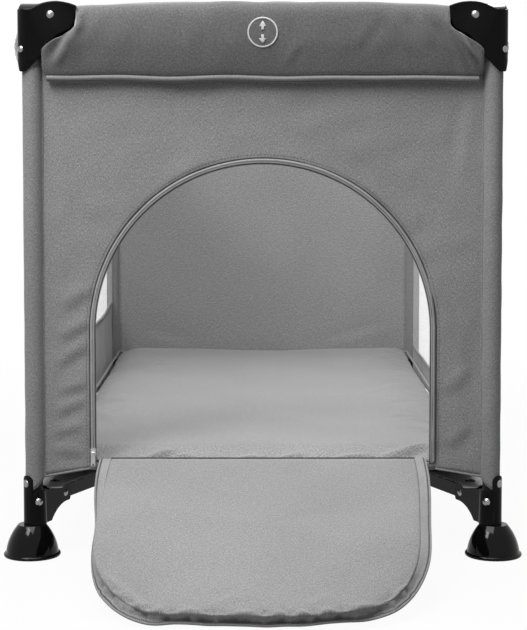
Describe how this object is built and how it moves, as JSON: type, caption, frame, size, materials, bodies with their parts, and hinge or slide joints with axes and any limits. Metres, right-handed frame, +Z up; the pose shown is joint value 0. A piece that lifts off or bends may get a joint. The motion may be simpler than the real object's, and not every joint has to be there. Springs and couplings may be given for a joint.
{
  "type": "folding playpen",
  "caption": "Folding playpen on suction cup feet, with padded top rails, net sides, a mattress and an arched zip door in one end that folds out to the floor.",
  "frame": {"origin": "on the floor, under the middle foot of the hub", "axes": "+X to the right seen from the door, +Y from the door end to the back, +Z up"},
  "size_m": [0.711, 1.6577, 0.7552],
  "materials": {
    "frame_steel": "satin black paint",
    "black_plastic": "gloss moulded",
    "button_plastic": "gloss moulded",
    "cup_rubber": "gloss rubber",
    "rivet_steel": "bright",
    "webbing": "woven webbing",
    "cover_fabric": "padded woven polyester",
    "wall_fabric": "heather woven polyester",
    "white_net": "fine net",
    "zip_tape": "woven tape with coil",
    "zip_metal": "bright",
    "door_fabric": "padded heather polyester",
    "floor_fabric": "coated polyester",
    "mattress_fabric": "heather polyester"
  },
  "bodies": {
    "front_left_leg": {"front_left_leg_tube": "frame_steel", "front_left_bracket": "black_plastic", "front_left_foot": "black_plastic", "front_left_suction_cup": "cup_rubber", "front_left_rivets": "rivet_steel", "front_wall": "wall_fabric", "left_net": "white_net", "left_band": "wall_fabric", "front_rail_cover": "cover_fabric", "left_rail_cover": "cover_fabric", "zip_track": "zip_tape", "zip_slider": "zip_metal"},
    "front_left_bar": {"front_left_floor_bar": "frame_steel"},
    "front_left_end_half": {"front_left_end_rail": "frame_steel"},
    "front_left_side_half": {"front_left_side_rail": "frame_steel"},
    "front_right_leg": {"front_right_leg_tube": "frame_steel", "front_right_bracket": "black_plastic", "front_right_foot": "black_plastic", "front_right_suction_cup": "cup_rubber", "front_right_rivets": "rivet_steel", "right_net": "white_net", "right_band": "wall_fabric", "right_rail_cover": "cover_fabric"},
    "front_right_bar": {"front_right_floor_bar": "frame_steel"},
    "front_right_end_half": {"front_right_end_rail": "frame_steel"},
    "front_right_side_half": {"front_right_side_rail": "frame_steel"},
    "back_left_leg": {"back_left_leg_tube": "frame_steel", "back_left_bracket": "black_plastic", "back_left_foot": "black_plastic", "back_left_suction_cup": "cup_rubber", "back_left_rivets": "rivet_steel", "back_wall": "wall_fabric", "back_rail_cover": "cover_fabric"},
    "back_left_bar": {"back_left_floor_bar": "frame_steel"},
    "back_left_end_half": {"back_left_end_rail": "frame_steel"},
    "back_left_side_half": {"back_left_side_rail": "frame_steel"},
    "back_right_leg": {"back_right_leg_tube": "frame_steel", "back_right_bracket": "black_plastic", "back_right_foot": "black_plastic", "back_right_suction_cup": "cup_rubber", "back_right_rivets": "rivet_steel"},
    "back_right_bar": {"back_right_floor_bar": "frame_steel"},
    "back_right_end_half": {"back_right_end_rail": "frame_steel"},
    "back_right_side_half": {"back_right_side_rail": "frame_steel"},
    "hub": {"hub": "black_plastic", "hub_pins": "rivet_steel", "pull_strap": "webbing", "floor_sheet": "floor_fabric"},
    "front_lock": {"front_latch": "black_plastic"},
    "front_push_button": {"front_button": "button_plastic"},
    "back_lock": {"back_latch": "black_plastic"},
    "back_push_button": {"back_button": "button_plastic"},
    "left_lock": {"left_latch": "black_plastic"},
    "left_push_button": {"left_button": "button_plastic"},
    "right_lock": {"right_latch": "black_plastic"},
    "right_push_button": {"right_button": "button_plastic"},
    "door": {"door": "door_fabric", "door_tape": "zip_tape"},
    "zip_puller": {"zip_puller": "zip_metal"},
    "mattress": {"mattress": "mattress_fabric"}
  },
  "joints": [
    {"name": "fold", "type": "hinge", "parent": "front_left_leg", "child": "front_left_bar", "pos_m": [-0.28757, -0.55573, 0.075], "axis": [0.9156, -0.4022, 0], "range_deg": [0, 84], "deforming": ["front_wall", "back_wall", "left_net", "right_net", "left_band", "right_band", "front_rail_cover", "back_rail_cover", "left_rail_cover", "right_rail_cover", "zip_track", "door", "door_tape", "floor_sheet", "mattress"]},
    {"name": "front_left_hub_pivot", "type": "hinge", "parent": "front_left_bar", "child": "hub", "pos_m": [-0.05257, -0.02073, 0.075], "axis": [0.9156, -0.4022, 0], "range_deg": [-84, 0]},
    {"name": "front_right_hub_pivot", "type": "hinge", "parent": "hub", "child": "front_right_bar", "pos_m": [0.05257, -0.02073, 0.075], "axis": [0.9156, 0.4022, 0], "range_deg": [0, 84]},
    {"name": "front_right_foot_pivot", "type": "hinge", "parent": "front_right_bar", "child": "front_right_leg", "pos_m": [0.28757, -0.55573, 0.075], "axis": [0.9156, 0.4022, 0], "range_deg": [-84, 0]},
    {"name": "back_left_hub_pivot", "type": "hinge", "parent": "hub", "child": "back_left_bar", "pos_m": [-0.05257, 0.02073, 0.075], "axis": [-0.9156, -0.4022, 0], "range_deg": [0, 84]},
    {"name": "back_left_foot_pivot", "type": "hinge", "parent": "back_left_bar", "child": "back_left_leg", "pos_m": [-0.28757, 0.55573, 0.075], "axis": [-0.9156, -0.4022, 0], "range_deg": [-84, 0]},
    {"name": "back_right_hub_pivot", "type": "hinge", "parent": "hub", "child": "back_right_bar", "pos_m": [0.05257, 0.02073, 0.075], "axis": [-0.9156, 0.4022, 0], "range_deg": [0, 84]},
    {"name": "back_right_foot_pivot", "type": "hinge", "parent": "back_right_bar", "child": "back_right_leg", "pos_m": [0.28757, 0.55573, 0.075], "axis": [-0.9156, 0.4022, 0], "range_deg": [-84, 0]},
    {"name": "front_left_end_rail_pivot", "type": "hinge", "parent": "front_left_leg", "child": "front_left_end_half", "pos_m": [-0.285, -0.6125, 0.737], "axis": [0, 1, 0], "range_deg": [0, 84]},
    {"name": "front_lock_left_pivot", "type": "hinge", "parent": "front_left_end_half", "child": "front_lock", "pos_m": [-0.05, -0.6125, 0.737], "axis": [0, 1, 0], "range_deg": [-84, 0]},
    {"name": "front_lock_right_pivot", "type": "hinge", "parent": "front_lock", "child": "front_right_end_half", "pos_m": [0.05, -0.6125, 0.737], "axis": [0, 1, 0], "range_deg": [-84, 0]},
    {"name": "back_left_end_rail_pivot", "type": "hinge", "parent": "back_left_leg", "child": "back_left_end_half", "pos_m": [-0.285, 0.6125, 0.737], "axis": [0, 1, 0], "range_deg": [0, 84]},
    {"name": "back_lock_left_pivot", "type": "hinge", "parent": "back_left_end_half", "child": "back_lock", "pos_m": [-0.05, 0.6125, 0.737], "axis": [0, 1, 0], "range_deg": [-84, 0]},
    {"name": "back_lock_right_pivot", "type": "hinge", "parent": "back_lock", "child": "back_right_end_half", "pos_m": [0.05, 0.6125, 0.737], "axis": [0, 1, 0], "range_deg": [-84, 0]},
    {"name": "front_left_side_rail_pivot", "type": "hinge", "parent": "front_left_leg", "child": "front_left_side_half", "pos_m": [-0.3125, -0.585, 0.737], "axis": [-1, 0, 0], "range_deg": [0, 84]},
    {"name": "left_lock_front_pivot", "type": "hinge", "parent": "front_left_side_half", "child": "left_lock", "pos_m": [-0.3125, -0.05, 0.737], "axis": [-1, 0, 0], "range_deg": [-84, 0]},
    {"name": "left_lock_back_pivot", "type": "hinge", "parent": "left_lock", "child": "back_left_side_half", "pos_m": [-0.3125, 0.05, 0.737], "axis": [-1, 0, 0], "range_deg": [-84, 0]},
    {"name": "front_right_side_rail_pivot", "type": "hinge", "parent": "front_right_leg", "child": "front_right_side_half", "pos_m": [0.3125, -0.585, 0.737], "axis": [-1, 0, 0], "range_deg": [0, 84]},
    {"name": "right_lock_front_pivot", "type": "hinge", "parent": "front_right_side_half", "child": "right_lock", "pos_m": [0.3125, -0.05, 0.737], "axis": [-1, 0, 0], "range_deg": [-84, 0]},
    {"name": "right_lock_back_pivot", "type": "hinge", "parent": "right_lock", "child": "back_right_side_half", "pos_m": [0.3125, 0.05, 0.737], "axis": [-1, 0, 0], "range_deg": [-84, 0]},
    {"name": "front_button_press", "type": "slide", "parent": "front_lock", "child": "front_push_button", "axis": [0, 1, 0], "range_m": [0, 0.0046], "stiffness_N_per_m": 600, "springref_m": -0.004},
    {"name": "back_button_press", "type": "slide", "parent": "back_lock", "child": "back_push_button", "axis": [0, -1, 0], "range_m": [0, 0.0046], "stiffness_N_per_m": 600, "springref_m": -0.004},
    {"name": "left_button_press", "type": "slide", "parent": "left_lock", "child": "left_push_button", "axis": [1, 0, 0], "range_m": [0, 0.0046], "stiffness_N_per_m": 600, "springref_m": -0.004},
    {"name": "right_button_press", "type": "slide", "parent": "right_lock", "child": "right_push_button", "axis": [-1, 0, 0], "range_m": [0, 0.0046], "stiffness_N_per_m": 600, "springref_m": -0.004},
    {"name": "door_hinge", "type": "hinge", "parent": "front_left_leg", "child": "door", "pos_m": [0, -0.6125, 0.13], "axis": [-1, 0, 0], "range_deg": [0, 106]},
    {"name": "puller_flip", "type": "hinge", "parent": "front_left_leg", "child": "zip_puller", "pos_m": [-0.232, -0.62, 0.142], "axis": [-1, 0, 0], "range_deg": [0, 150]},
    {"name": "mattress_lift", "type": "slide", "parent": "hub", "child": "mattress", "axis": [0, 0, 1], "range_m": [0, 0.75]}
  ],
  "couplings": [
    {"joint": "front_left_hub_pivot", "follows": "fold", "ratio": -1},
    {"joint": "front_right_hub_pivot", "follows": "fold", "ratio": 1},
    {"joint": "front_right_foot_pivot", "follows": "fold", "ratio": -1},
    {"joint": "back_left_hub_pivot", "follows": "fold", "ratio": 1},
    {"joint": "back_left_foot_pivot", "follows": "fold", "ratio": -1},
    {"joint": "back_right_hub_pivot", "follows": "fold", "ratio": 1},
    {"joint": "back_right_foot_pivot", "follows": "fold", "ratio": -1},
    {"joint": "front_left_end_rail_pivot", "follows": "fold", "ratio": 1},
    {"joint": "front_lock_left_pivot", "follows": "fold", "ratio": -1},
    {"joint": "front_lock_right_pivot", "follows": "fold", "ratio": -1},
    {"joint": "back_left_end_rail_pivot", "follows": "fold", "ratio": 1},
    {"joint": "back_lock_left_pivot", "follows": "fold", "ratio": -1},
    {"joint": "back_lock_right_pivot", "follows": "fold", "ratio": -1},
    {"joint": "front_left_side_rail_pivot", "follows": "fold", "ratio": 1},
    {"joint": "left_lock_front_pivot", "follows": "fold", "ratio": -1},
    {"joint": "left_lock_back_pivot", "follows": "fold", "ratio": -1},
    {"joint": "front_right_side_rail_pivot", "follows": "fold", "ratio": 1},
    {"joint": "right_lock_front_pivot", "follows": "fold", "ratio": -1},
    {"joint": "right_lock_back_pivot", "follows": "fold", "ratio": -1},
    {"joint": "mattress_lift", "follows": "fold", "m_per_rad": 0.47746}
  ]
}
